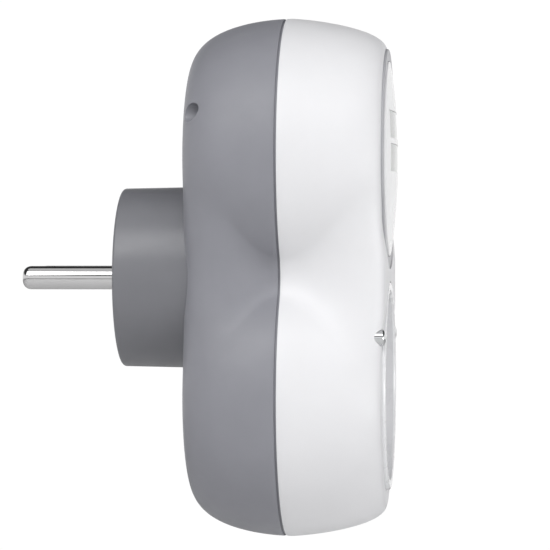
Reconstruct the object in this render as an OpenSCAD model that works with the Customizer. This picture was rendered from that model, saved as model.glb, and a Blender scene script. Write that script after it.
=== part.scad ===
// Plug-in power meter with a domed display disc, two chromed keys and a pass-through socket.
// Frame: +Y leaves the wall along the plug pins, -Y is the front, +Z is up, origin on the plug face.
// All depths are distances in front of the plug face.

/* [Body] */
// radius of the upper and lower lobe at the widest section
lobe_r = 29; // [27:0.5:31]
// height of each lobe centre above or below the plug axis
lobe_z = 24.5; // [23:0.5:26]
// depth of the finger scoop at the waist, beside the seam
scoop_depth = 8.6; // [4:0.2:9.6]
// length of the scoop from the seam towards the back
back_scoop = 10.5; // [6:0.5:10.5]
// length of the scoop from the seam towards the front
front_scoop = 14.5; // [8:0.5:14.5]
// height of the saddle between the display ring and the socket rim
saddle_rise = 0.65; // [0:0.05:0.8]
// how far the front edge is rounded in
front_roll = 7; // [5:0.25:8]
// wall thickness of both shells
wall = 2.2; // [1.8:0.1:2.6]
// depth of the seam between the shells
seam_d = 34.1; // [32.5:0.1:34.2]
// open gap along the seam
seam_gap = 0.5; // [0.3:0.05:0.6]
// depth of the shadow groove along the seam
groove_in = 0.4; // [0.3:0.05:0.6]

/* [Plug] */
// radius of the plug barrel at its face
barrel_r = 18.5; // [18.2:0.1:18.7]
// rounding of the barrel rim
barrel_edge = 0.65; // [0.4:0.05:1]
// diameter of the live and neutral pins
pin_d = 4.8; // [4.74:0.02:4.86]
// free length of the pins
pin_len = 19.6; // [18.5:0.1:19.8]
// distance between the pins
pin_pitch = 19; // [18.8:0.1:19.2]
// height of the earth hole over the pin line
earth_rise = 10; // [9.8:0.1:10.2]

/* [Socket] */
// height of the socket centre, below the plug axis
socket_z = -22.4; // [-22.8:0.1:-22]
// radius of the plug recess
recess_r = 19.6; // [19.3:0.1:19.7]
// depth of the plug recess
recess_depth = 17.7; // [15.5:0.1:18]
// outside radius of the socket rim
rim_r = 21.5; // [21.3:0.05:21.6]
// radius of the two pin apertures
aperture_r = 2.7; // [2.55:0.05:2.8]
// free length of the socket earth pin
earth_len = 14; // [13:0.25:14.5]
// turn between closed and open shutter, degrees
shutter_turn = 38; // [37:0.5:40]

/* [Display] */
// outside radius of the bezel ring
bezel_r = 22.65; // [22.3:0.05:22.8]
// radius of the domed display disc
disc_r = 20.1; // [19.8:0.05:20.2]
// crown radius of the disc
disc_crown = 133; // [110:1:160]
// width of the two readout windows
window_w = 26; // [22:0.5:28]
// height of each readout window
window_h = 5.6; // [4.5:0.1:5.8]
// height of the bar between the windows, above the plug axis
window_z = 27.9; // [27:0.1:28.5]

/* [Keys] */
// sideways distance of each key from the middle
key_x = 21; // [20.8:0.05:21.2]
// height of the keys, below the plug axis
key_z = -11.9; // [-12.1:0.05:-11.7]
// diameter of the key caps
key_d = 3.2; // [3:0.05:3.2]
// key travel
key_travel = 0.5; // [0.3:0.05:0.5]

/* [Hidden] */
$fn = 64;
eps = 0.01;
back_d = 14.25;
crown_d = 35.5;
scoop_d = 34.5;
front_d = 54.8;
back_span = crown_d - back_d + 0.08;
front_span = front_d - crown_d;
saddle_z = -1;
saddle_half = 13;
saddle_fade = 9;
back_flat_r = lobe_r - 17.3;
rear_steps = 13;
front_steps = 12;
arc_steps = 13;
waist_steps = 6;
ring_n = 4 * (arc_steps + waist_steps);
lip_in = 1.15;
lip_h = 1.4;
pin_x = pin_pitch / 2;
pin_r = pin_d / 2;
shank_r = pin_r - 0.2;
neck = 0.02;
flange_d = back_d + wall + 0.05;
barrel_end = flange_d + 1.5;
barrel_back_r = barrel_r + 0.25;
barrel_hole_r = barrel_back_r + 0.12;
rim_front = 55.6;
seat_d = 54.15;
bezel_front = 55.25;
disc_apex = 56.9;
recess_floor = rim_front - recess_depth;
cup_r = recess_r + 1.3;
cup_back = recess_floor - 2;
shutter_front = cup_back - 0.3;
shutter_back = shutter_front - 1.5;
carrier_front = shutter_back - 0.3;
carrier_back = carrier_front - 10;
key_top = 55.75;
key_tail = 46.5;
screw_ring = 22.8;
screw_head_d = 3.6;
screw_seat = 23.7;
board_d = 29.5;
bar_d = 21.6;

// one sub-part to show, or all of them

function clamp01(v) = min(1, max(0, v));
function back_radius(d) = let (s = clamp01((crown_d - d) / back_span))
  back_flat_r + (lobe_r - back_flat_r) * pow(1 - pow(s, 1.88), 0.25);
function front_radius(d) = let (s = clamp01((d - crown_d) / front_span))
  lobe_r - front_roll * (1 - pow(max(0, 1 - pow(s, 1.35)), 0.424));
function section_radius(d) = d < crown_d ? back_radius(d) : front_radius(d);
function scoop(d) = 1.2 + 1.4 * clamp01((crown_d - d) / 15)
  + scoop_depth * exp(-pow((d - scoop_d) / (d < scoop_d ? back_scoop : front_scoop), 2));
function section_waist(d) = section_radius(d) - scoop(d);

// quarter of a section: lobe arc from the top, then the hollow arc to the waist
function quarter(r, w) = let (
  f = (lobe_z * lobe_z + w * w - r * r) / (2 * (r - w)),
  cx = w + f,
  turn = atan2(lobe_z, cx))
  concat(
    [for (i = [0 : arc_steps]) let (a = 90 - (90 + turn) * i / arc_steps)
      [r * cos(a), lobe_z + r * sin(a)]],
    [for (j = [1 : waist_steps]) let (b = 180 - turn + turn * j / waist_steps)
      [cx + f * cos(b), f * sin(b)]]);

// extra depth of the front face at height z, full between the ring and the rim
function saddle(z) = saddle_rise * (1 - cos(180 * clamp01((saddle_half - abs(z - saddle_z)) / saddle_fade))) / 2;
function face_share(d) = pow(clamp01((d - crown_d) / front_span), 3);
function point(x, z, d) = [x, -d - saddle(z) * face_share(d), z];

function section(d, r, w) = let (q = quarter(r, w), n = len(q) - 1)
  concat(
    [for (i = [0 : n]) point(q[i][0], q[i][1], d)],
    [for (i = [1 : n]) point(q[n - i][0], -q[n - i][1], d)],
    [for (i = [1 : n]) point(-q[i][0], -q[i][1], d)],
    [for (i = [1 : n - 1]) point(-q[n - i][0], q[n - i][1], d)]);

// level strips that close a section, each between two mirrored pairs of points
function cap_strips(first, flip) = let (half = ring_n / 2)
  [for (i = [0 : half - 1]) let (a = first + i, b = first + i + 1,
    c = first + ring_n - i - 1, e = first + (ring_n - i) % ring_n)
    i == 0 ? (flip ? [c, b, a] : [a, b, c])
    : i == half - 1 ? (flip ? [e, b, a] : [a, b, e])
    : (flip ? [e, c, b, a] : [a, b, c, e])];

function ring_faces(rings) = concat(
  cap_strips(0, false),
  [for (k = [0 : rings - 2]) for (i = [0 : ring_n - 1]) let (j = (i + 1) % ring_n)
    [k * ring_n + i, (k + 1) * ring_n + i, (k + 1) * ring_n + j]],
  [for (k = [0 : rings - 2]) for (i = [0 : ring_n - 1]) let (j = (i + 1) % ring_n)
    [k * ring_n + i, (k + 1) * ring_n + j, k * ring_n + j]],
  cap_strips((rings - 1) * ring_n, true));

function turned_over(faces) = [for (f = faces) [for (i = [0 : len(f) - 1]) f[len(f) - 1 - i]]];

function pair(d, inset, shift) = section(d + shift, section_radius(d) - inset, section_waist(d) - inset);

rear_end = seam_d - seam_gap / 2;
front_end = seam_d + seam_gap / 2;
function rear_step(i) = back_d + (rear_end - back_d) * pow(i / rear_steps, 2.2);
function front_step(i) = front_d - (front_d - front_end) * pow(i / front_steps, 1.8);
function rear_floor(i) = max(back_d + wall, rear_step(i) + wall * pow(1 - i / rear_steps, 1.5));
function front_floor(i) = min(front_d - wall, front_step(i) - wall * pow(1 - i / front_steps, 1.5));

module rod(r, d0, d1, x = 0, z = 0)
  translate([x, -d0, z])
    rotate([90, 0, 0])
      cylinder(r = r, h = d1 - d0);

module slab(x0, x1, d0, d1, z0, z1)
  translate([x0, -d1, z0])
    cube([x1 - x0, d1 - d0, z1 - z0]);

module turned(points, x = 0, z = 0)
  translate([x, 0, z])
    rotate([90, 0, 0])
      rotate_extrude($fn = 96)
        polygon(points);

module at_screws()
  for (s = [[-21.1, 33.2], [21.1, 33.2], [0, -lobe_z - screw_ring]])
    translate([s[0], 0, s[1]])
      children();

module rear_cup() {
  outer = [for (i = [0 : rear_steps]) pair(rear_step(i), 0, 0)];
  lip = [pair(rear_end, groove_in, 0), pair(rear_end, groove_in, seam_gap - 0.05),
    pair(rear_end, lip_in, seam_gap - 0.05), pair(rear_end, lip_in, lip_h)];
  inner = [for (i = [0 : rear_steps]) let (k = rear_steps - i)
    pair(rear_step(k), wall, (k == rear_steps ? lip_h : rear_floor(k) - rear_step(k)))];
  rings = concat(outer, lip, inner);
  polyhedron([for (r = rings) for (p = r) p], turned_over(ring_faces(len(rings))), convexity = 6);
}

module front_cup() {
  outer = [for (i = [0 : front_steps]) pair(front_step(i), 0, 0)];
  lip = [pair(front_end, lip_in - 0.15, 0), pair(front_end, lip_in - 0.15, lip_h)];
  inner = [for (i = [0 : front_steps]) let (k = front_steps - i)
    pair(front_step(k), wall, (k == front_steps ? lip_h : front_floor(k) - front_step(k)))];
  rings = concat(outer, lip, inner);
  polyhedron([for (r = rings) for (p = r) p], ring_faces(len(rings)), convexity = 6);
}

module rear_shell() color([0.56, 0.57, 0.60]) difference() {
  union() {
    rear_cup();
    at_screws() rod(3.2, 20.7, rear_end - 0.05);
  }
  rod(barrel_hole_r, back_d - 5, barrel_end + 0.3);
  at_screws() rod(2, back_d - 5, screw_seat);
  at_screws() rod(1.25, screw_seat - 1, seam_d + 2);
}

module front_shell() color([0.93, 0.93, 0.95]) difference() {
  union() {
    front_cup();
    at_screws() rod(2.8, rear_end, 49);
    for (s = [-1, 1])
      rod(2.2, 48.1, 51.5, s * key_x, key_z);
  }
  rod(21.4, 48, front_d + 3, 0, lobe_z);
  rod(bezel_r + 0.1, seat_d, front_d + 3, 0, lobe_z);
  rod(cup_r + 0.1, 45, front_d + 3, 0, socket_z);
  rod(rim_r + 0.1, seat_d, front_d + 3, 0, socket_z);
  for (s = [-1, 1]) {
    rod(key_d / 2 + 0.08, 47, front_d + 3, s * key_x, key_z);
    rod(2.2, 41.5, 48.05, s * key_x, key_z);
  }
  at_screws() rod(1.12, seam_d - 1, 43);
}

module plug_barrel() color([0.48, 0.49, 0.52]) difference() {
  union() {
    turned([[0, 0], [barrel_r - barrel_edge, 0], [barrel_r - barrel_edge * 0.62, barrel_edge * 0.08],
      [barrel_r - barrel_edge * 0.29, barrel_edge * 0.29],
      [barrel_r - barrel_edge * 0.08, barrel_edge * 0.62],
      [barrel_r, barrel_edge], [barrel_back_r, back_d], [barrel_back_r, barrel_end],
      [0, barrel_end]]);
    intersection() {
      rod(22.4, flange_d, barrel_end);
      slab(-15.5, 15.5, flange_d - 1, barrel_end + 1, -23, 23);
    }
  }
  rod(16.3, 3.6, barrel_end + 1);
  for (s = [-1, 1])
    rod(pin_r + 0.04, -1, 5, s * pin_x, 0);
  rod(2.95, -1, 5, 0, earth_rise);
}

module pin(x) color([0.80, 0.80, 0.82])
  turned([[0, -pin_len], [1.1, -pin_len], [1.7, -pin_len + 0.22], [2.12, -pin_len + 0.62],
    [pin_r - 0.05, -pin_len + 1.2], [pin_r, -pin_len + 1.9], [pin_r, -neck], [shank_r, -neck],
    [shank_r, 3.7], [3.1, 3.7], [3.1, 5],
    [1.6, 5], [1.6, 11.4], [0, 11.4]], x, 0);

module pin_left() pin(-pin_x);

module pin_right() pin(pin_x);

module plug_earth_tube() color([0.82, 0.70, 0.42]) difference() {
  union() {
    rod(2.9, 0.1, 10.5, 0, earth_rise);
    rod(3.5, 3.7, 5, 0, earth_rise);
  }
  rod(2.45, -1, 9.3, 0, earth_rise);
}

module pin_block() color([0.90, 0.90, 0.88]) difference() {
  rod(15.9, 5.1, 9);
  for (s = [-1, 1])
    rod(1.66, 4, 10, s * pin_x, 0);
  rod(3, 4, 10, 0, earth_rise);
}

module riser(x, z, d0, hole)
  difference() {
    slab(x - 3, x + 3, d0, d0 + 0.8, z - 3, z + 3);
    rod(hole, d0 - 1, d0 + 2, x, z);
  }

module neutral_bar() color([0.85, 0.72, 0.45]) union() {
  riser(-pin_x, 0, 9.2, 1.63);
  slab(-13.3, -12.5, 9.2, bar_d + 0.8, -3, 3);
  slab(-13.3, -8, bar_d, bar_d + 0.8, -25, 3);
}

module live_bar_in() color([0.85, 0.72, 0.45]) union() {
  riser(pin_x, 0, 9.2, 1.63);
  slab(12.5, 13.3, 9.2, bar_d + 0.8, -3, 3);
  slab(8, 13.3, bar_d, bar_d + 0.8, -6, 3);
}

module shunt() color([0.72, 0.55, 0.40]) union() {
  slab(8.6, 12.4, bar_d + 0.8, bar_d + 1.5, -15, -4);
  slab(9.9, 11.1, bar_d + 1.5, bar_d + 2, -13, -6);
}

module live_bar_out() color([0.85, 0.72, 0.45])
  slab(8, 13.3, bar_d, bar_d + 0.8, -25, -12.5);

module earth_link() color([0.45, 0.62, 0.35]) union() {
  slab(-2.5, 2.5, 10.6, 11.4, 7.5, 12.5);
  slab(-2.5, 2.5, 10.6, bar_d + 0.8, 11.7, 12.5);
  slab(-2.5, 2.5, bar_d, bar_d + 0.8, -15, 12.5);
}

module socket_cup() color([0.91, 0.91, 0.93]) difference() {
  turned([[0, cup_back], [cup_r, cup_back], [cup_r, seat_d + 0.05], [rim_r, seat_d + 0.05],
    [rim_r, rim_front - 0.5], [rim_r - 0.15, rim_front - 0.15], [rim_r - 0.5, rim_front],
    [0, rim_front]], 0, socket_z);
  turned([[0, recess_floor], [recess_r, recess_floor], [recess_r, rim_front - 0.6],
    [recess_r + 0.6, rim_front], [recess_r + 0.6, rim_front + 2], [0, rim_front + 2]], 0, socket_z);
  for (s = [-1, 1])
    rod(aperture_r, cup_back - 1, recess_floor + 1, s * pin_x, socket_z);
  rod(pin_r + 0.05, cup_back - 1, recess_floor + 1, 0, socket_z + earth_rise);
}

module socket_earth_pin() color([0.80, 0.80, 0.82])
  turned([[0, bar_d + 0.9], [shank_r, bar_d + 0.9], [shank_r, recess_floor], [pin_r, recess_floor],
    [pin_r, recess_floor + earth_len - 1.9],
    [pin_r - 0.06, recess_floor + earth_len - 1.2], [2.1, recess_floor + earth_len - 0.6],
    [1.6, recess_floor + earth_len - 0.2], [1, recess_floor + earth_len],
    [0, recess_floor + earth_len]], 0, socket_z + earth_rise);

module shutter() color([0.88, 0.88, 0.86]) difference() {
  rod(14.2, shutter_back, shutter_front, 0, socket_z);
  rod(1.56, shutter_back - 1, shutter_front + 1, 0, socket_z);
  for (a = [-shutter_turn, 180 - shutter_turn])
    rod(aperture_r + 0.1, shutter_back - 1, shutter_front + 1, pin_x * cos(a),
      socket_z + pin_x * sin(a));
  for (k = [0 : 8])
    rod(pin_r + 0.5, shutter_back - 1, shutter_front + 1,
      earth_rise * cos(90 - shutter_turn * k / 8), socket_z + earth_rise * sin(90 - shutter_turn * k / 8));
}

module shutter_spring() color([0.70, 0.71, 0.73]) union() {
  for (k = [0 : 2])
    turned([[3.05, carrier_front - 1.95 + k * 0.6], [3.7, carrier_front - 1.95 + k * 0.6],
      [3.7, carrier_front - 1.4 + k * 0.6], [3.05, carrier_front - 1.4 + k * 0.6]], 0, socket_z);
  slab(3.1, 3.65, carrier_front - 1.95, carrier_front - 0.2, socket_z - 0.3, socket_z + 0.3);
}

module contact_carrier() color([0.86, 0.85, 0.80]) union() {
  difference() {
    rod(15.5, carrier_back, carrier_front, 0, socket_z);
    rod(4.4, carrier_front - 2.3, carrier_front + 1, 0, socket_z);
    for (s = [-1, 1])
      rod(3.35, carrier_back - 1, carrier_front + 1, s * pin_x, socket_z);
    rod(pin_r + 0.05, carrier_back - 1, carrier_front + 1, 0, socket_z + earth_rise);
  }
  rod(1.5, carrier_front - 3, shutter_front - 0.1, 0, socket_z);
}

module contact(x) color([0.85, 0.72, 0.45]) difference() {
  union() {
    rod(3.3, carrier_back + 1.4, carrier_front - 0.3, x, socket_z);
    rod(1.5, bar_d + 0.8, carrier_back + 2, x, socket_z);
  }
  rod(pin_r, carrier_back + 3, carrier_front + 1, x, socket_z);
  slab(x - 0.3, x + 0.3, carrier_back + 3, carrier_front + 1, socket_z - 4, socket_z + 4);
}

module contact_left() contact(-pin_x);

module contact_right() contact(pin_x);

module main_board() color([0.16, 0.42, 0.26]) difference() {
  intersection() {
    rod(23.6, board_d, board_d + 1.6, 0, lobe_z);
    slab(-17, 17, board_d - 1, board_d + 3, 4, 46);
  }
  for (s = [-1, 1])
    rod(1.6, board_d - 1, board_d + 3, s * 13, 9);
}

module metering_chip() color([0.10, 0.10, 0.11]) union() {
  slab(-4.5, 4.5, board_d + 1.6, board_d + 3.4, 24, 34);
  for (k = [0 : 6])
    slab(-6, 6, board_d + 1.6, board_d + 1.9, 25 + k * 1.3, 25.5 + k * 1.3);
}

module dropper_capacitor() color([0.80, 0.66, 0.20])
  slab(-9, 9, board_d - 12, board_d, 33, 40.5);

module smoothing_capacitor() color([0.14, 0.16, 0.26]) union() {
  rod(4, board_d - 11, board_d - 0.4, -8, 24);
  rod(2.6, board_d - 0.5, board_d, -8, 24);
}

module varistor() color([0.16, 0.32, 0.62])
  slab(3, 12.5, board_d - 9.5, board_d, 22, 25.5);

module backup_battery() color([0.72, 0.73, 0.75]) union() {
  rod(6.2, board_d + 1.9, board_d + 5.2, 3, 13);
  slab(-4.5, 10.5, board_d + 1.6, board_d + 1.9, 11.5, 14.5);
}

module display_cable() color([0.75, 0.75, 0.77])
  slab(-13.5, -7.5, board_d + 1.6, 46.9, 18.6, 19.1);

module display_board() color([0.16, 0.42, 0.26])
  rod(19.6, 46.9, 48.5, 0, lobe_z);

module lcd_panel() color([0.55, 0.60, 0.52])
  slab(-15, 15, 49.7, 51.7, window_z - 8.6, window_z + 8.6);

module contact_strips() color([0.85, 0.55, 0.60])
  for (s = [-1, 1])
    slab(-14, 14, 48.5, 49.7, window_z + s * 7.2 - 0.8, window_z + s * 7.2 + 0.8);

module window_pads(grow, d0)
  for (s = [-1, 1])
    slab(-window_w / 2 + grow, window_w / 2 - grow, d0, disc_apex + 1,
      window_z + s * (window_h / 2 + 0.6) - window_h / 2 + grow,
      window_z + s * (window_h / 2 + 0.6) + window_h / 2 - grow);

module crown_ball(shift)
  translate([0, -(disc_apex - shift - disc_crown), lobe_z])
    sphere(r = disc_crown, $fn = 256);

module lcd_window() color([0.62, 0.68, 0.66]) intersection() {
  union() {
    slab(-15.2, 15.2, 51.8, 53.2, window_z - 8.2, window_z + 8.2);
    window_pads(0.05, 53);
  }
  crown_ball(0.12);
}

module display_disc() color([0.94, 0.94, 0.95]) difference() {
  intersection() {
    rod(disc_r, 53.2, disc_apex + 1, 0, lobe_z);
    crown_ball(0);
  }
  window_pads(0, 52);
}

module bezel_ring() color([0.68, 0.69, 0.71])
  turned([[disc_r + 0.1, 49], [21.3, 49], [21.3, seat_d + 0.05], [bezel_r, seat_d + 0.05],
    [bezel_r, bezel_front - 0.3], [bezel_r - 0.3, bezel_front], [disc_r + 0.1, bezel_front]],
    0, lobe_z);

module key_part(x) color([0.86, 0.87, 0.88])
  turned([[0, key_tail], [1.2, key_tail], [1.2, 47.4], [1.95, 47.4], [1.95, 48], [key_d / 2, 48],
    [key_d / 2, key_top - 0.75], [key_d / 2 - 0.1, key_top - 0.55], [key_d / 2 - 0.35, key_top - 0.3],
    [key_d / 2 - 0.75, key_top - 0.1], [0.4, key_top], [0, key_top]], x, key_z);

module key_left() key_part(-key_x);

module key_right() key_part(key_x);

module key_switches() color([0.20, 0.20, 0.22])
  for (s = [-1, 1]) {
    slab(s * 20.55 - 1.35, s * 20.55 + 1.35, 41.9, 44.4, key_z - 1.7, key_z + 1.35);
    rod(0.8, 44.3, key_tail - key_travel - 0.3, s * key_x, key_z);
  }

module key_boards() color([0.16, 0.42, 0.26])
  for (s = [-1, 1])
    slab(s * 20.7 - 1.15, s * 20.7 + 1.15, 40.3, 41.9, key_z - 2.6, key_z + 1.7);

module housing_screws() color([0.62, 0.63, 0.66]) at_screws()
  difference() {
    turned([[0, screw_seat - 1.5], [screw_head_d / 2 - 0.5, screw_seat - 1.5],
      [screw_head_d / 2 - 0.1, screw_seat - 1.1], [screw_head_d / 2, screw_seat - 0.6],
      [screw_head_d / 2, screw_seat], [1.1, screw_seat], [1.1, 40], [0.4, 41.6], [0, 41.6]]);
    slab(-1, 1, screw_seat - 2, screw_seat - 0.7, -0.2, 0.2);
    slab(-0.2, 0.2, screw_seat - 2, screw_seat - 0.7, -1, 1);
  }

rear_shell();
front_shell();
plug_barrel();
pin_left();
pin_right();
plug_earth_tube();
pin_block();
neutral_bar();
live_bar_in();
shunt();
live_bar_out();
earth_link();
socket_cup();
socket_earth_pin();
shutter();
shutter_spring();
contact_carrier();
contact_left();
contact_right();
main_board();
metering_chip();
dropper_capacitor();
smoothing_capacitor();
varistor();
backup_battery();
display_cable();
display_board();
lcd_panel();
contact_strips();
lcd_window();
display_disc();
bezel_ring();
key_left();
key_right();
key_switches();
key_boards();
housing_screws();
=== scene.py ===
import math
import bmesh
import bpy
import numpy as np
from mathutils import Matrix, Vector


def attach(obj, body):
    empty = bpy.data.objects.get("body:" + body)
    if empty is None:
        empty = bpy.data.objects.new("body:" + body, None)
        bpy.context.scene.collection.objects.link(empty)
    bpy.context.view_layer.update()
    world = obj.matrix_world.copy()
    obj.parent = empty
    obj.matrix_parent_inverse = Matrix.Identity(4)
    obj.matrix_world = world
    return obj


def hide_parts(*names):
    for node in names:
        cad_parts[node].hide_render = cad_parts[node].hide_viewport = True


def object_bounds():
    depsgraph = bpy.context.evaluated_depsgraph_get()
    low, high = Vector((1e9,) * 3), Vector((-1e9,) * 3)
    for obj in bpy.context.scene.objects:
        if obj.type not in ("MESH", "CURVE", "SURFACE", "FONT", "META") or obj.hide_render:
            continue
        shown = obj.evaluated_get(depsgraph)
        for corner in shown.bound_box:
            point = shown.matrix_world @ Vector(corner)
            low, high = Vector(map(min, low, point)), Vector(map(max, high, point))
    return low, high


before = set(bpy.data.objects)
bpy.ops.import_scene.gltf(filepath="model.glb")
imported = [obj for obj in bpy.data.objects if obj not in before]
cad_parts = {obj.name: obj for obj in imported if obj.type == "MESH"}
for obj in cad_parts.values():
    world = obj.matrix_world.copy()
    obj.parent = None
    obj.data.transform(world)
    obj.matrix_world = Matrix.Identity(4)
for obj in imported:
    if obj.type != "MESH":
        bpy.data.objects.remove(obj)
cad_lo, cad_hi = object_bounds()
MM = 0.001

# ---------------------------------------------------------------- camera
AIM_D, AIM_Z = 31.5, 0.5
CAM_AZ, CAM_EL, CAM_D = -84.7, 0.4, 0.600
SENSOR = 36.0
VIEW_WIDTH = 0.114108  # metres across the view, at the aim point
aim = Vector((0.0, -AIM_D * MM, AIM_Z * MM))


def direction(azimuth, elevation):
    """Unit vector from the object, azimuth from the front towards +X, both in degrees."""
    a, e = math.radians(azimuth), math.radians(elevation)
    return Vector((math.sin(a) * math.cos(e), -math.cos(a) * math.cos(e), math.sin(e)))


back = direction(CAM_AZ, CAM_EL)
cam_data = bpy.data.cameras.new("view_camera")
cam = bpy.data.objects.new("view_camera", cam_data)
bpy.context.scene.collection.objects.link(cam)
cam.location = aim + back * CAM_D
cam.rotation_euler = back.to_track_quat("Z", "Y").to_euler()
cam_data.sensor_width = SENSOR
cam_data.lens = SENSOR * CAM_D / VIEW_WIDTH
cam_data.clip_start = 0.01
cam_data.clip_end = 50.0
bpy.context.scene.camera = cam


# ---------------------------------------------------------------- materials
def tree(name):
    """New material with its node tree, main shader and texture coordinates."""
    m = bpy.data.materials.new(name)
    m.use_nodes = True
    nt = m.node_tree
    bsdf = next(n for n in nt.nodes if n.type == "BSDF_PRINCIPLED")
    co = nt.nodes.new("ShaderNodeTexCoord")
    return m, nt, bsdf, co


def noise(nt, co, scale, detail=2.0, rough=0.5, stretch=None):
    n = nt.nodes.new("ShaderNodeTexNoise")
    n.inputs["Scale"].default_value = scale
    n.inputs["Detail"].default_value = detail
    n.inputs["Roughness"].default_value = rough
    if stretch:
        mp = nt.nodes.new("ShaderNodeMapping")
        mp.inputs["Scale"].default_value = stretch
        nt.links.new(co.outputs["Object"], mp.inputs["Vector"])
        nt.links.new(mp.outputs["Vector"], n.inputs["Vector"])
    else:
        nt.links.new(co.outputs["Object"], n.inputs["Vector"])
    return n.outputs["Fac"]


def to_range(nt, fac, lo, hi, a=0.3, b=0.7):
    r = nt.nodes.new("ShaderNodeMapRange")
    r.inputs["From Min"].default_value = a
    r.inputs["From Max"].default_value = b
    r.inputs["To Min"].default_value = lo
    r.inputs["To Max"].default_value = hi
    nt.links.new(fac, r.inputs["Value"])
    return r.outputs["Result"]


def two_tone(nt, fac, dark, light, a=0.3, b=0.7):
    r = nt.nodes.new("ShaderNodeValToRGB")
    r.color_ramp.elements[0].position = a
    r.color_ramp.elements[1].position = b
    r.color_ramp.elements[0].color = (*dark, 1.0)
    r.color_ramp.elements[1].color = (*light, 1.0)
    nt.links.new(fac, r.inputs["Fac"])
    return r.outputs["Color"]


def bumps(nt, bsdf, layers):
    """Stacks bump layers given as (height, strength, distance)."""
    last = None
    for fac, strength, dist in layers:
        b = nt.nodes.new("ShaderNodeBump")
        b.inputs["Strength"].default_value = strength
        b.inputs["Distance"].default_value = dist
        nt.links.new(fac, b.inputs["Height"])
        if last:
            nt.links.new(last, b.inputs["Normal"])
        last = b.outputs["Normal"]
    nt.links.new(last, bsdf.inputs["Normal"])


def plastic(name, colour, rough, spread=0.03, grain=2600.0, grain_amount=0.10, wave=0.02, coat=0.0):
    """Moulded plastic: slightly mottled colour and gloss, a fine grain and a faint wave."""
    m, nt, bsdf, co = tree(name)
    dark = tuple(c * (1.0 - spread) for c in colour)
    light = tuple(min(1.0, c * (1.0 + spread)) for c in colour)
    nt.links.new(two_tone(nt, noise(nt, co, 70.0, 4.0, 0.6), dark, light), bsdf.inputs["Base Color"])
    gloss = to_range(nt, noise(nt, co, 240.0, 3.0), rough - 0.05, rough + 0.05)
    nt.links.new(gloss, bsdf.inputs["Roughness"])
    fine = (noise(nt, co, grain, 2.0, 0.6), grain_amount, 0.00006)
    broad = (noise(nt, co, 35.0, 1.0), wave, 0.0010)
    bumps(nt, bsdf, [fine, broad])
    bsdf.inputs["IOR"].default_value = 1.46
    bsdf.inputs["Coat Weight"].default_value = coat
    bsdf.inputs["Coat Roughness"].default_value = 0.08
    return m


def metal(name, colour, rough, lines=None, spread=0.04, bump=0.05):
    """Plated or bare metal, with polishing marks drawn out along one axis if lines is given."""
    m, nt, bsdf, co = tree(name)
    dark = tuple(c * (1.0 - spread) for c in colour)
    nt.links.new(two_tone(nt, noise(nt, co, 120.0, 4.0, 0.6), dark, colour), bsdf.inputs["Base Color"])
    bsdf.inputs["Metallic"].default_value = 1.0
    grain = noise(nt, co, 900.0, 3.0, 0.6, lines)
    nt.links.new(to_range(nt, grain, max(0.02, rough - 0.03), rough + 0.05), bsdf.inputs["Roughness"])
    bumps(nt, bsdf, [(grain, bump, 0.00003)])
    return m


def glassy(name, colour):
    """Half-clear window."""
    m, nt, bsdf, co = tree(name)
    dark = tuple(c * 0.97 for c in colour)
    nt.links.new(two_tone(nt, noise(nt, co, 50.0, 2.0), dark, colour), bsdf.inputs["Base Color"])
    nt.links.new(to_range(nt, noise(nt, co, 300.0), 0.03, 0.08), bsdf.inputs["Roughness"])
    bumps(nt, bsdf, [(noise(nt, co, 60.0), 0.02, 0.0004)])
    bsdf.inputs["Transmission Weight"].default_value = 0.60
    bsdf.inputs["IOR"].default_value = 1.49
    return m


M = {
    "rear": plastic("rear_grey", (0.240, 0.242, 0.269), 0.44, 0.04, 2600.0, 0.16),
    "front": plastic("front_white", (0.740, 0.740, 0.757), 0.40, 0.012, 2600.0, 0.07),
    "plug": plastic("plug_grey", (0.172, 0.174, 0.190), 0.34, 0.04, 2400.0, 0.12),
    "socket": plastic("socket_white", (0.810, 0.812, 0.830), 0.28, 0.010, 2600.0, 0.04, 0.006, 0.8),
    "ring": plastic("bezel_silver", (0.400, 0.402, 0.425), 0.34, 0.03, 3000.0, 0.08),
    "disc": plastic("disc_gloss", (0.790, 0.790, 0.810), 0.20, 0.012, 3000.0, 0.02, 0.02, 0.6),
    "inner": plastic("inner_buff", (0.62, 0.61, 0.56), 0.52, 0.03),
    "shutter": plastic("shutter_white", (0.66, 0.66, 0.65), 0.45, 0.02),
    "board": plastic("board_green", (0.03, 0.17, 0.09), 0.32, 0.18, 900.0, 0.15),
    "black": plastic("black_epoxy", (0.022, 0.022, 0.025), 0.50, 0.15),
    "yellow": plastic("film_yellow", (0.62, 0.43, 0.07), 0.35, 0.06),
    "sleeve": plastic("sleeve_blue", (0.03, 0.04, 0.11), 0.30, 0.10),
    "blue": plastic("dipped_blue", (0.05, 0.13, 0.42), 0.28, 0.08),
    "ribbon": plastic("ribbon_grey", (0.45, 0.45, 0.47), 0.50, 0.05),
    "rubber": plastic("strip_pink", (0.52, 0.24, 0.30), 0.60, 0.08),
    "lcd": plastic("lcd_grey", (0.70, 0.73, 0.69), 0.26, 0.03, 1800.0, 0.03),
    "pin": metal("pin_nickel", (0.66, 0.655, 0.66), 0.10, (1.0, 0.04, 1.0)),
    "brass": metal("contact_brass", (0.72, 0.52, 0.24), 0.26, (1.0, 0.2, 1.0), 0.12),
    "alloy": metal("shunt_alloy", (0.42, 0.30, 0.22), 0.38, None, 0.15),
    "spring": metal("spring_wire", (0.52, 0.52, 0.54), 0.22),
    "cell": metal("cell_steel", (0.56, 0.57, 0.58), 0.30, None, 0.08),
    "screw": metal("screw_zinc", (0.40, 0.41, 0.44), 0.30, None, 0.12, 0.12),
    "chrome": metal("key_chrome", (0.70, 0.71, 0.72), 0.035, None, 0.02, 0.01),
    "window": glassy("window_clear", (0.86, 0.88, 0.87)),
}


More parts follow.
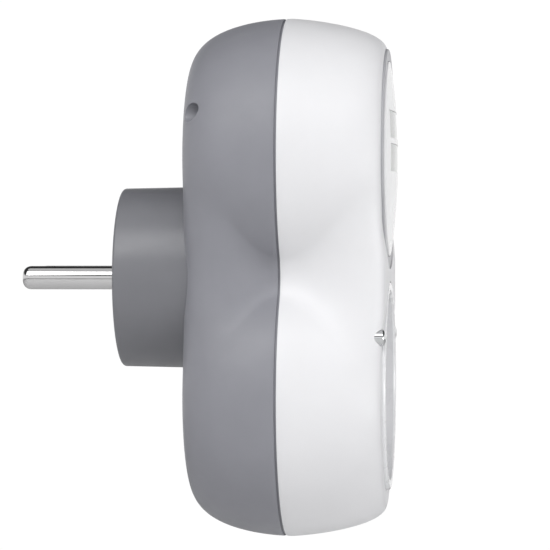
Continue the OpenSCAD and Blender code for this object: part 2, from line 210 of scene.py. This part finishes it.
# ---------------------------------------------------------------- mesh helpers
def link(name, verts, faces, material, sharp=35.0):
    me = bpy.data.meshes.new(name)
    me.from_pydata([tuple(v) for v in verts], [], faces)
    me.validate()
    me.materials.append(material)
    ob = bpy.data.objects.new(name, me)
    bpy.context.scene.collection.objects.link(ob)
    soften(ob, sharp)
    return ob


def soften(ob, sharp=35.0):
    """Smooth shading, with edges over the angle kept sharp."""
    bm = bmesh.new()
    bm.from_mesh(ob.data)
    bmesh.ops.recalc_face_normals(bm, faces=bm.faces)
    for f in bm.faces:
        f.smooth = True
    limit = math.radians(sharp)
    for e in bm.edges:
        e.smooth = len(e.link_faces) == 2 and e.calc_face_angle(0.0) < limit
    bm.to_mesh(ob.data)
    bm.free()


def lathe(name, profile, material, x=0.0, z=0.0, segs=96, sharp=35.0, closed=False):
    """Turns an (r, d) profile in millimetres about the line through x, z along the depth of the body."""
    verts, faces, rings = [], [], []
    for r, d in profile:
        if r < 1e-6:
            rings.append([len(verts)])
            verts.append((x, -d, z))
        else:
            rings.append([len(verts) + i for i in range(segs)])
            for i in range(segs):
                a = 2 * math.pi * i / segs
                verts.append((x + r * math.cos(a), -d, z + r * math.sin(a)))
    pairs = list(zip(rings, rings[1:])) + ([(rings[-1], rings[0])] if closed else [])
    for p, q in pairs:
        for i in range(segs):
            j = (i + 1) % segs
            if len(p) == 1 and len(q) == 1:
                continue
            if len(p) == 1:
                faces.append((p[0], q[j], q[i]))
            elif len(q) == 1:
                faces.append((p[i], p[j], q[0]))
            else:
                faces.append((p[i], p[j], q[j], q[i]))
    return link(name, np.array(verts) * MM, faces, material, sharp)


def rod_profile(r, d0, d1):
    """Profile of a plain rod between two depths."""
    return [(0, d0), (r, d0), (r, d1), (0, d1)]


def cut(ob, cutters, op="DIFFERENCE"):
    """Applies one Boolean after another and removes the cutters."""
    for c in cutters:
        mod = ob.modifiers.new("cut", "BOOLEAN")
        mod.operation = op
        mod.solver = "EXACT"
        mod.object = c
        dg = bpy.context.evaluated_depsgraph_get()
        me = bpy.data.meshes.new_from_object(ob.evaluated_get(dg))
        ob.modifiers.clear()
        old = ob.data
        ob.data = me
        bpy.data.meshes.remove(old)
        bpy.data.objects.remove(c)
    return ob


def box_mesh(x0, x1, d0, d1, z0, z1, name, material):
    verts = [(x, -d, z) for x in (x0, x1) for d in (d0, d1) for z in (z0, z1)]
    faces = [(0, 1, 3, 2), (4, 6, 7, 5), (0, 4, 5, 1), (2, 3, 7, 6), (0, 2, 6, 4), (1, 5, 7, 3)]
    return link(name, np.array(verts) * MM, faces, material)


# ---------------------------------------------------------------- body form, the same rule as the CAD
# Millimetres. Depths d are in front of the plug face, so y = -d.
LOBE_R, LOBE_Z, WALL = 29.0, 24.5, 2.2
BACK_D, CROWN_D, FRONT_D, SEAM_D, GAP = 14.25, 35.5, 54.8, 34.1, 0.5
BACK_ROLL, FRONT_ROLL = 17.3, 7.0
GROOVE_IN, LIP_IN, LIP_H, LIP_SLACK = 0.4, 1.15, 1.4, 0.15
SCOOP_D, SCOOP_DEPTH, BACK_SCOOP, FRONT_SCOOP = 34.5, 8.6, 10.5, 14.5
WAIST_IN, WAIST_TAPER, TAPER_LENGTH = 1.2, 1.4, 15.0
SADDLE_RISE, SADDLE_Z, SADDLE_HALF, SADDLE_FADE = 0.65, -1.0, 13.0, 9.0
SOCKET_Z, KEY_X, KEY_Z = -22.4, 21.0, -11.9
SEAT_D, RIM_FRONT, RECESS_FLOOR = 54.15, 55.6, 37.9
REAR_END, FRONT_END = SEAM_D - GAP / 2, SEAM_D + GAP / 2
EDGE = 0.18
CUT_END = 58.0
SCREWS = [(-21.1, 33.2), (21.1, 33.2), (0.0, -LOBE_Z - 22.8)]
SCREW_SEAT, BOSS_R, BOSS_BACK, HEAD_HOLE_R, SHANK_HOLE_R = 23.7, 3.2, 20.7, 2.0, 1.25
POST_R, POST_FRONT, BORE_R, BORE_FRONT = 2.8, 49.0, 1.12, 43.0
GUIDE_R, GUIDE_BACK, GUIDE_FRONT, KEY_HOLE_R = 2.2, 48.1, 51.5, 1.68
POCKET_BACK, POCKET_FRONT = 41.5, 48.05
BARREL_R, BARREL_BACK_R, BARREL_EDGE, BARREL_BORE, FACE_WALL = 18.5, 18.75, 0.65, 16.3, 3.6
FLANGE_R, FLANGE_X, FLANGE_D, FLANGE_END = 22.4, 15.5, 16.5, 18.0
PIN_X, PIN_R, SHANK_R, PIN_LEN = 9.5, 2.4, 2.2, 19.6
COLLAR_R, COLLAR_BACK, COLLAR_FRONT, STEM_R, STEM_END = 3.1, 3.7, 5.0, 1.6, 11.4
EARTH_RISE, EARTH_LEN = 10.0, 14.0
EARTH_Z = SOCKET_Z + EARTH_RISE
CUP_R, CUP_BACK, RIM_R, RECESS_R = 20.9, 35.9, 21.5, 19.6
RING_R, RING_STEM_R, RING_INNER_R, RING_FRONT = 22.65, 21.3, 20.2, 55.25
DISC_R, DISC_BACK, CROWN_R, DISC_APEX = 20.1, 53.2, 133.0, 56.9
WINDOW_W, WINDOW_H, WINDOW_Z, WINDOW_BAR = 26.0, 5.6, 27.9, 1.2
KEY_R, KEY_TOP, KEY_TAIL = 1.6, 55.75, 46.5


def unit(v):
    return min(1.0, max(0.0, v))


def body_r(d):
    """Lobe radius at a depth, rounded in towards the back and the front."""
    if d < CROWN_D:
        s = unit((CROWN_D - d) / (CROWN_D - BACK_D + 0.08))
        return LOBE_R - BACK_ROLL + BACK_ROLL * (1 - s ** 1.88) ** 0.25
    s = unit((d - CROWN_D) / (FRONT_D - CROWN_D))
    return LOBE_R - FRONT_ROLL * (1 - max(0.0, 1 - s ** 1.35) ** 0.424)


def body_w(d):
    """Half width of the waist at a depth, with the finger scoop beside the seam."""
    length = BACK_SCOOP if d < SCOOP_D else FRONT_SCOOP
    taper = WAIST_TAPER * unit((CROWN_D - d) / TAPER_LENGTH)
    return body_r(d) - (WAIST_IN + taper + SCOOP_DEPTH * math.exp(-((d - SCOOP_D) / length) ** 2))


def saddle(z, d):
    """Extra depth of the front face between the display ring and the socket rim."""
    share = unit((d - CROWN_D) / (FRONT_D - CROWN_D)) ** 3
    bell = 1 - math.cos(math.pi * unit((SADDLE_HALF - abs(z - SADDLE_Z)) / SADDLE_FADE))
    return SADDLE_RISE * share * bell / 2


def section(d, inset, shift, arc_steps=44, waist_steps=20):
    """Figure-eight ring: the section of depth d, drawn in by inset and moved forward by shift."""
    r, w = body_r(d) - inset, body_w(d) - inset
    hollow_r = (LOBE_Z ** 2 + w * w - r * r) / (2 * (r - w))
    hollow_x = w + hollow_r
    turn = math.atan2(LOBE_Z, hollow_x)
    quarter = []
    for i in range(arc_steps + 1):
        a = math.pi / 2 - (math.pi / 2 + turn) * i / arc_steps
        quarter.append((r * math.cos(a), LOBE_Z + r * math.sin(a)))
    for j in range(1, waist_steps + 1):
        b = math.pi - turn + turn * j / waist_steps
        quarter.append((hollow_x + hollow_r * math.cos(b), hollow_r * math.sin(b)))
    right = quarter + [(x, -z) for x, z in reversed(quarter[:-1])]
    left = [(-x, -z) for x, z in right[1:-1]]
    return [(x, -(d + shift) - saddle(z, d + shift), z) for x, z in right + left]


def cap_strips(first, n):
    """Closes a section with strips between mirrored points, so a raised saddle stays smooth."""
    faces = []
    for i in range(n // 2):
        loop = [first + i, first + i + 1, first + n - i - 1, first + (n - i) % n]
        faces.append(tuple(dict.fromkeys(loop)))
    return faces


def cup(name, rings, material):
    """Closed solid through a row of equal rings."""
    n = len(rings[0])
    verts = [p for r in rings for p in r]
    faces = cap_strips(0, n)
    for k in range(len(rings) - 1):
        for i in range(n):
            j = (i + 1) % n
            faces.append((k * n + i, (k + 1) * n + i, (k + 1) * n + j, k * n + j))
    faces += [tuple(reversed(f)) for f in cap_strips((len(rings) - 1) * n, n)]
    return link(name, np.array(verts) * MM, faces, material)


def shell_rings(cap, seam, steps, power, out, lip):
    """Outside from the cap to the seam, the steps of the seam, and the inside back to the cap."""
    depth = [cap + (seam - cap) * (i / steps) ** power for i in range(steps + 1)]
    rings = [section(d, 0.0, 0.0) for d in depth[:-1]]
    rings += [section(seam - out * EDGE, 0.0, 0.0), section(seam, 0.05, 0.0), section(seam, EDGE, 0.0)]
    rings += [section(seam, inset, shift) for inset, shift in lip]
    for i in reversed(range(steps + 1)):
        d = depth[i]
        raw = d + out * WALL * (1 - i / steps) ** 1.5
        lim = cap + out * WALL
        floor = max(raw, lim) if out > 0 else min(raw, lim)
        rings.append(section(d, WALL, LIP_H if i == steps else floor - d))
    return rings


def rear_shell():
    step = GAP - 0.05
    lip = [(GROOVE_IN, 0.0), (GROOVE_IN, step), (LIP_IN, step), (LIP_IN, LIP_H)]
    grey = M["rear"]
    ob = cup("rear_skin", shell_rings(BACK_D, REAR_END, 34, 2.2, 1, lip), grey)
    for k, (x, z) in enumerate(SCREWS):
        cut(ob, [lathe(f"boss{k}", rod_profile(BOSS_R, BOSS_BACK, REAR_END - 0.05), grey, x, z)], "UNION")
    cut(ob, [lathe("barrel_cut", rod_profile(BARREL_BACK_R + 0.12, 8, FLANGE_END + 0.3), grey, segs=192)])
    for k, (x, z) in enumerate(SCREWS):
        cut(ob, [lathe(f"head{k}", rod_profile(HEAD_HOLE_R, 8, SCREW_SEAT), grey, x, z),
                 lathe(f"shank{k}", rod_profile(SHANK_HOLE_R, 23, SEAM_D + 2), grey, x, z)])
    soften(ob, 32.0)
    return ob


def front_shell():
    lip = [(LIP_IN - LIP_SLACK, 0.0), (LIP_IN - LIP_SLACK, LIP_H)]
    white = M["front"]
    keys = [(-KEY_X, KEY_Z), (KEY_X, KEY_Z)]
    ob = cup("front_skin", shell_rings(FRONT_D, FRONT_END, 30, 1.8, -1, lip), white)
    for k, (x, z) in enumerate(SCREWS):
        cut(ob, [lathe(f"post{k}", rod_profile(POST_R, REAR_END, POST_FRONT), white, x, z)], "UNION")
    for k, (x, z) in enumerate(keys):
        cut(ob, [lathe(f"guide{k}", rod_profile(GUIDE_R, GUIDE_BACK, GUIDE_FRONT), white, x, z)], "UNION")
    cut(ob, [lathe("disc_hole", rod_profile(RING_STEM_R + 0.1, 48, CUT_END), white, 0, LOBE_Z, 160),
             lathe("ring_step", rod_profile(RING_R + 0.1, SEAT_D, CUT_END), white, 0, LOBE_Z, 192),
             lathe("cup_hole", rod_profile(CUP_R + 0.1, 45, CUT_END), white, 0, SOCKET_Z, 160),
             lathe("rim_step", rod_profile(RIM_R + 0.1, SEAT_D, CUT_END), white, 0, SOCKET_Z, 192)])
    for k, (x, z) in enumerate(keys):
        cut(ob, [lathe(f"key_hole{k}", rod_profile(KEY_HOLE_R, 47, CUT_END), white, x, z),
                 lathe(f"key_pocket{k}", rod_profile(GUIDE_R, POCKET_BACK, POCKET_FRONT), white, x, z)])
    for k, (x, z) in enumerate(SCREWS):
        cut(ob, [lathe(f"bore{k}", rod_profile(BORE_R, 32, BORE_FRONT), white, x, z)])
    soften(ob, 32.0)
    return ob


# ---------------------------------------------------------------- turned pieces
def dome(r0, d0, r1, d1, steps=8):
    """Quarter-ellipse from (r0, d0) on the side to (r1, d1) nearer the axis."""
    out = []
    for k in range(steps + 1):
        a = math.pi / 2 * k / steps
        out.append((r1 + (r0 - r1) * math.cos(a), d0 + (d1 - d0) * math.sin(a)))
    return out


def barrel():
    grey = M["plug"]
    rim = [(r, -d) for r, d in dome(BARREL_R, -BARREL_EDGE, BARREL_R - BARREL_EDGE, 0.0)]
    profile = [(0, 0), (17.0, 0)] + rim[::-1]
    profile += [(BARREL_BACK_R, BACK_D), (BARREL_BACK_R, FLANGE_END), (0, FLANGE_END)]
    ob = lathe("barrel_skin", profile, grey, segs=192)
    flange = lathe("flange", rod_profile(FLANGE_R, FLANGE_D, FLANGE_END), grey)
    cut(flange, [box_mesh(-FLANGE_X, FLANGE_X, 16, 19, -23, 23, "flange_box", grey)], "INTERSECT")
    cut(ob, [flange], "UNION")
    cut(ob, [lathe("hollow", rod_profile(BARREL_BORE, FACE_WALL, 19), grey)])
    pin_hole = [(0, -1), (2.6, -0.01), (2.44, 0.15), (2.44, 5), (0, 5)]
    for k, x in enumerate((-PIN_X, PIN_X)):
        cut(ob, [lathe(f"pin_hole{k}", pin_hole, grey, x)])
    earth_hole = [(0, -1), (3.2, -0.01), (2.95, 0.24), (2.95, 5), (0, 5)]
    cut(ob, [lathe("earth_hole", earth_hole, grey, 0, EARTH_RISE)])
    soften(ob, 30.0)
    return ob


def plug_pin(name, x):
    tip = [(r, -d) for r, d in dome(PIN_R, PIN_LEN - 1.7, 0.95, PIN_LEN, 10)]
    profile = [(0, -PIN_LEN)] + tip[::-1] + [(PIN_R, -0.02), (SHANK_R, -0.02), (SHANK_R, COLLAR_BACK)]
    profile += [(COLLAR_R, COLLAR_BACK), (COLLAR_R, COLLAR_FRONT), (STEM_R, COLLAR_FRONT)]
    profile += [(STEM_R, STEM_END), (0, STEM_END)]
    return lathe(name, profile, M["pin"], x, 0, 72, 40.0)


def socket_cup():
    white = M["socket"]
    rim = dome(RIM_R, RIM_FRONT - 0.55, RIM_R - 0.55, RIM_FRONT, 6)
    mouth = [(RECESS_R + 0.6, RIM_FRONT), (RECESS_R + 0.25, RIM_FRONT - 0.14), (RECESS_R, RIM_FRONT - 0.5)]
    floor_edge = [(RECESS_R, RECESS_FLOOR + 0.4), (RECESS_R - 0.12, RECESS_FLOOR + 0.12),
                  (RECESS_R - 0.4, RECESS_FLOOR)]
    profile = [(0, CUP_BACK), (CUP_R, CUP_BACK), (CUP_R, SEAT_D + 0.05), (RIM_R, SEAT_D + 0.05)]
    profile += rim + mouth + floor_edge + [(0, RECESS_FLOOR)]
    ob = lathe("cup_skin", profile, white, 0, SOCKET_Z, 192)
    hole = [(0, CUP_BACK - 1), (2.7, CUP_BACK - 1), (2.7, RECESS_FLOOR - 0.35),
            (3.1, RECESS_FLOOR + 0.01), (0, RECESS_FLOOR + 1)]
    for k, x in enumerate((-PIN_X, PIN_X)):
        cut(ob, [lathe(f"aperture{k}", hole, white, x, SOCKET_Z)])
    earth_hole = rod_profile(PIN_R + 0.05, CUP_BACK - 1, RECESS_FLOOR + 1)
    cut(ob, [lathe("earth_hole", earth_hole, white, 0, EARTH_Z)])
    soften(ob, 30.0)
    return ob


def earth_pin():
    top = RECESS_FLOOR + EARTH_LEN
    profile = [(0, 22.5), (SHANK_R, 22.5), (SHANK_R, RECESS_FLOOR), (PIN_R, RECESS_FLOOR)]
    profile += dome(PIN_R, top - 1.9, 0.9, top, 10) + [(0, top)]
    return lathe("earth_pin_skin", profile, M["pin"], 0, EARTH_Z, 72, 40.0)


def bezel_ring():
    outside = dome(RING_R, RING_FRONT - 0.32, RING_R - 0.32, RING_FRONT, 6)
    inside = [(RING_INNER_R + 0.16, RING_FRONT), (RING_INNER_R + 0.04, RING_FRONT - 0.05),
              (RING_INNER_R, RING_FRONT - 0.16)]
    profile = [(RING_INNER_R, 49), (RING_STEM_R, 49), (RING_STEM_R, SEAT_D + 0.05), (RING_R, SEAT_D + 0.05)]
    return lathe("ring_skin", profile + outside + inside, M["ring"], 0, LOBE_Z, 192, closed=True)


def crown(r):
    """Depth of the disc's domed face at radius r."""
    return DISC_APEX - CROWN_R + math.sqrt(CROWN_R ** 2 - r * r)


def display_disc():
    white = M["disc"]
    side = [(0, DISC_BACK), (DISC_R, DISC_BACK), (DISC_R, crown(DISC_R) - 0.28)]
    edge = [(DISC_R - 0.07, crown(DISC_R) - 0.08), (DISC_R - 0.22, crown(DISC_R - 0.22) - 0.01)]
    face = [(r, crown(r)) for r in np.linspace(19.0, 1.0, 13)] + [(0, DISC_APEX)]
    ob = lathe("disc_skin", side + edge + face, white, 0, LOBE_Z, 192)
    half_w, half_h = WINDOW_W / 2, WINDOW_H / 2
    for s in (-1, 1):
        mid = WINDOW_Z + s * (WINDOW_H + WINDOW_BAR) / 2
        window = box_mesh(-half_w, half_w, 52, CUT_END, mid - half_h, mid + half_h, f"window_cut{s}", white)
        cut(ob, [window])
    soften(ob, 30.0)
    return ob


def key_cap(name, x):
    profile = [(0, KEY_TAIL), (1.2, KEY_TAIL), (1.2, 47.4), (1.95, 47.4), (1.95, 48), (KEY_R, 48)]
    profile += dome(KEY_R, KEY_TOP - 0.75, 0.0, KEY_TOP, 12)
    return lathe(name, profile, M["chrome"], x, KEY_Z, 64, 40.0)


def place(ob, node, body="case"):
    """Puts a piece in place of its CAD node and on its body."""
    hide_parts(node)
    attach(ob, body)


place(rear_shell(), "rear_shell")
place(front_shell(), "front_shell")
place(barrel(), "plug_barrel")
place(plug_pin("pin_skin_left", -PIN_X), "pin_left")
place(plug_pin("pin_skin_right", PIN_X), "pin_right")
place(socket_cup(), "socket_cup")
place(earth_pin(), "socket_earth_pin")
place(bezel_ring(), "bezel_ring")
place(display_disc(), "display_disc")
place(key_cap("key_skin_left", -KEY_X), "key_left", "key_left")
place(key_cap("key_skin_right", KEY_X), "key_right", "key_right")

# ---------------------------------------------------------------- carried-over CAD nodes
LOOK = {
    "plug_earth_tube": "brass", "pin_block": "inner", "neutral_bar": "brass", "live_bar_in": "brass",
    "shunt": "alloy", "live_bar_out": "brass", "earth_link": "brass", "shutter": "shutter",
    "shutter_spring": "spring", "contact_carrier": "inner", "contact_left": "brass",
    "contact_right": "brass",
    "main_board": "board", "metering_chip": "black", "dropper_capacitor": "yellow",
    "smoothing_capacitor": "sleeve", "varistor": "blue", "backup_battery": "cell", "display_cable": "ribbon",
    "display_board": "board", "lcd_panel": "lcd", "contact_strips": "rubber", "lcd_window": "window",
    "key_switches": "black", "key_boards": "board", "housing_screws": "screw",
}
for node, look in LOOK.items():
    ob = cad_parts[node]
    ob.data.materials.clear()
    ob.data.materials.append(M[look])


# ---------------------------------------------------------------- stage and light
FLOOR_SIZE, FLOOR_DROP = 5.0, 0.30


def floor():
    m, nt, bsdf, co = tree("floor_pale")
    nt.links.new(two_tone(nt, noise(nt, co, 3.0), (0.86,) * 3, (0.88,) * 3), bsdf.inputs["Base Color"])
    bsdf.inputs["Roughness"].default_value = 0.8
    bsdf.inputs["Emission Color"].default_value = (1, 1, 1, 1)
    bsdf.inputs["Emission Strength"].default_value = 0.08
    me = bpy.data.meshes.new("floor")
    s = FLOOR_SIZE / 2
    me.from_pydata([(-s, -s, 0), (s, -s, 0), (s, s, 0), (-s, s, 0)], [], [(0, 1, 2, 3)])
    me.materials.append(m)
    ob = bpy.data.objects.new("floor", me)
    ob.location = (0, 0, cad_lo[2] - FLOOR_DROP)
    bpy.context.scene.collection.objects.link(ob)


def softbox(name, azimuth, elevation, width, height, power, distance=1.6):
    """Rectangular lamp that looks at the object from a direction in degrees."""
    way = direction(azimuth, elevation)
    light = bpy.data.lights.new(name, "AREA")
    light.shape = "RECTANGLE"
    light.size = width
    light.size_y = height
    light.energy = power
    ob = bpy.data.objects.new(name, light)
    ob.location = aim + way * distance
    ob.rotation_euler = way.to_track_quat("Z", "Y").to_euler()
    ob.visible_camera = False
    bpy.context.scene.collection.objects.link(ob)


floor()
softbox("key", -85, 46, 1.8, 0.9, 11.7)
softbox("front", -25, -6, 1.4, 0.5, 8.4)
softbox("back", -128, 40, 1.2, 1.0, 10.1)
softbox("top", -85, 85, 1.8, 1.2, 4.2)

# Glow of the studio walls: (height of the direction, from -1 to 1, and brightness).
WALLS = [(-0.25, 0.04), (-0.05, 1.0), (0.20, 1.0), (0.40, 0.04)]
WALL_GLOW, BACKDROP = 0.94, 1.02


def studio():
    world = bpy.data.worlds.new("studio")
    bpy.context.scene.world = world
    world.use_nodes = True
    nt = world.node_tree
    glow = next(n for n in nt.nodes if n.type == "BACKGROUND")
    out = next(n for n in nt.nodes if n.type == "OUTPUT_WORLD")
    co = nt.nodes.new("ShaderNodeTexCoord")
    parts = nt.nodes.new("ShaderNodeSeparateXYZ")
    nt.links.new(co.outputs["Generated"], parts.inputs[0])
    ramp = nt.nodes.new("ShaderNodeValToRGB")
    steps = ramp.color_ramp.elements
    for k, (way_up, level) in enumerate(WALLS):
        at = (way_up + 1.0) / 2.0
        step = steps[k] if k < 2 else steps.new(at)
        step.position = at
        step.color = (level, level, level, 1.0)
    nt.links.new(to_range(nt, parts.outputs["Z"], 0.0, 1.0, -1.0, 1.0), ramp.inputs["Fac"])
    nt.links.new(ramp.outputs["Color"], glow.inputs["Color"])
    glow.inputs["Strength"].default_value = WALL_GLOW
    seen = nt.nodes.new("ShaderNodeBackground")
    seen.inputs["Color"].default_value = (1, 1, 1, 1)
    seen.inputs["Strength"].default_value = BACKDROP
    path = nt.nodes.new("ShaderNodeLightPath")
    mix = nt.nodes.new("ShaderNodeMixShader")
    nt.links.new(path.outputs["Is Camera Ray"], mix.inputs["Fac"])
    nt.links.new(glow.outputs["Background"], mix.inputs[1])
    nt.links.new(seen.outputs["Background"], mix.inputs[2])
    nt.links.new(mix.outputs["Shader"], out.inputs["Surface"])


studio()
bpy.context.scene.view_settings.view_transform = "Standard"
bpy.context.scene.view_settings.look = "None"
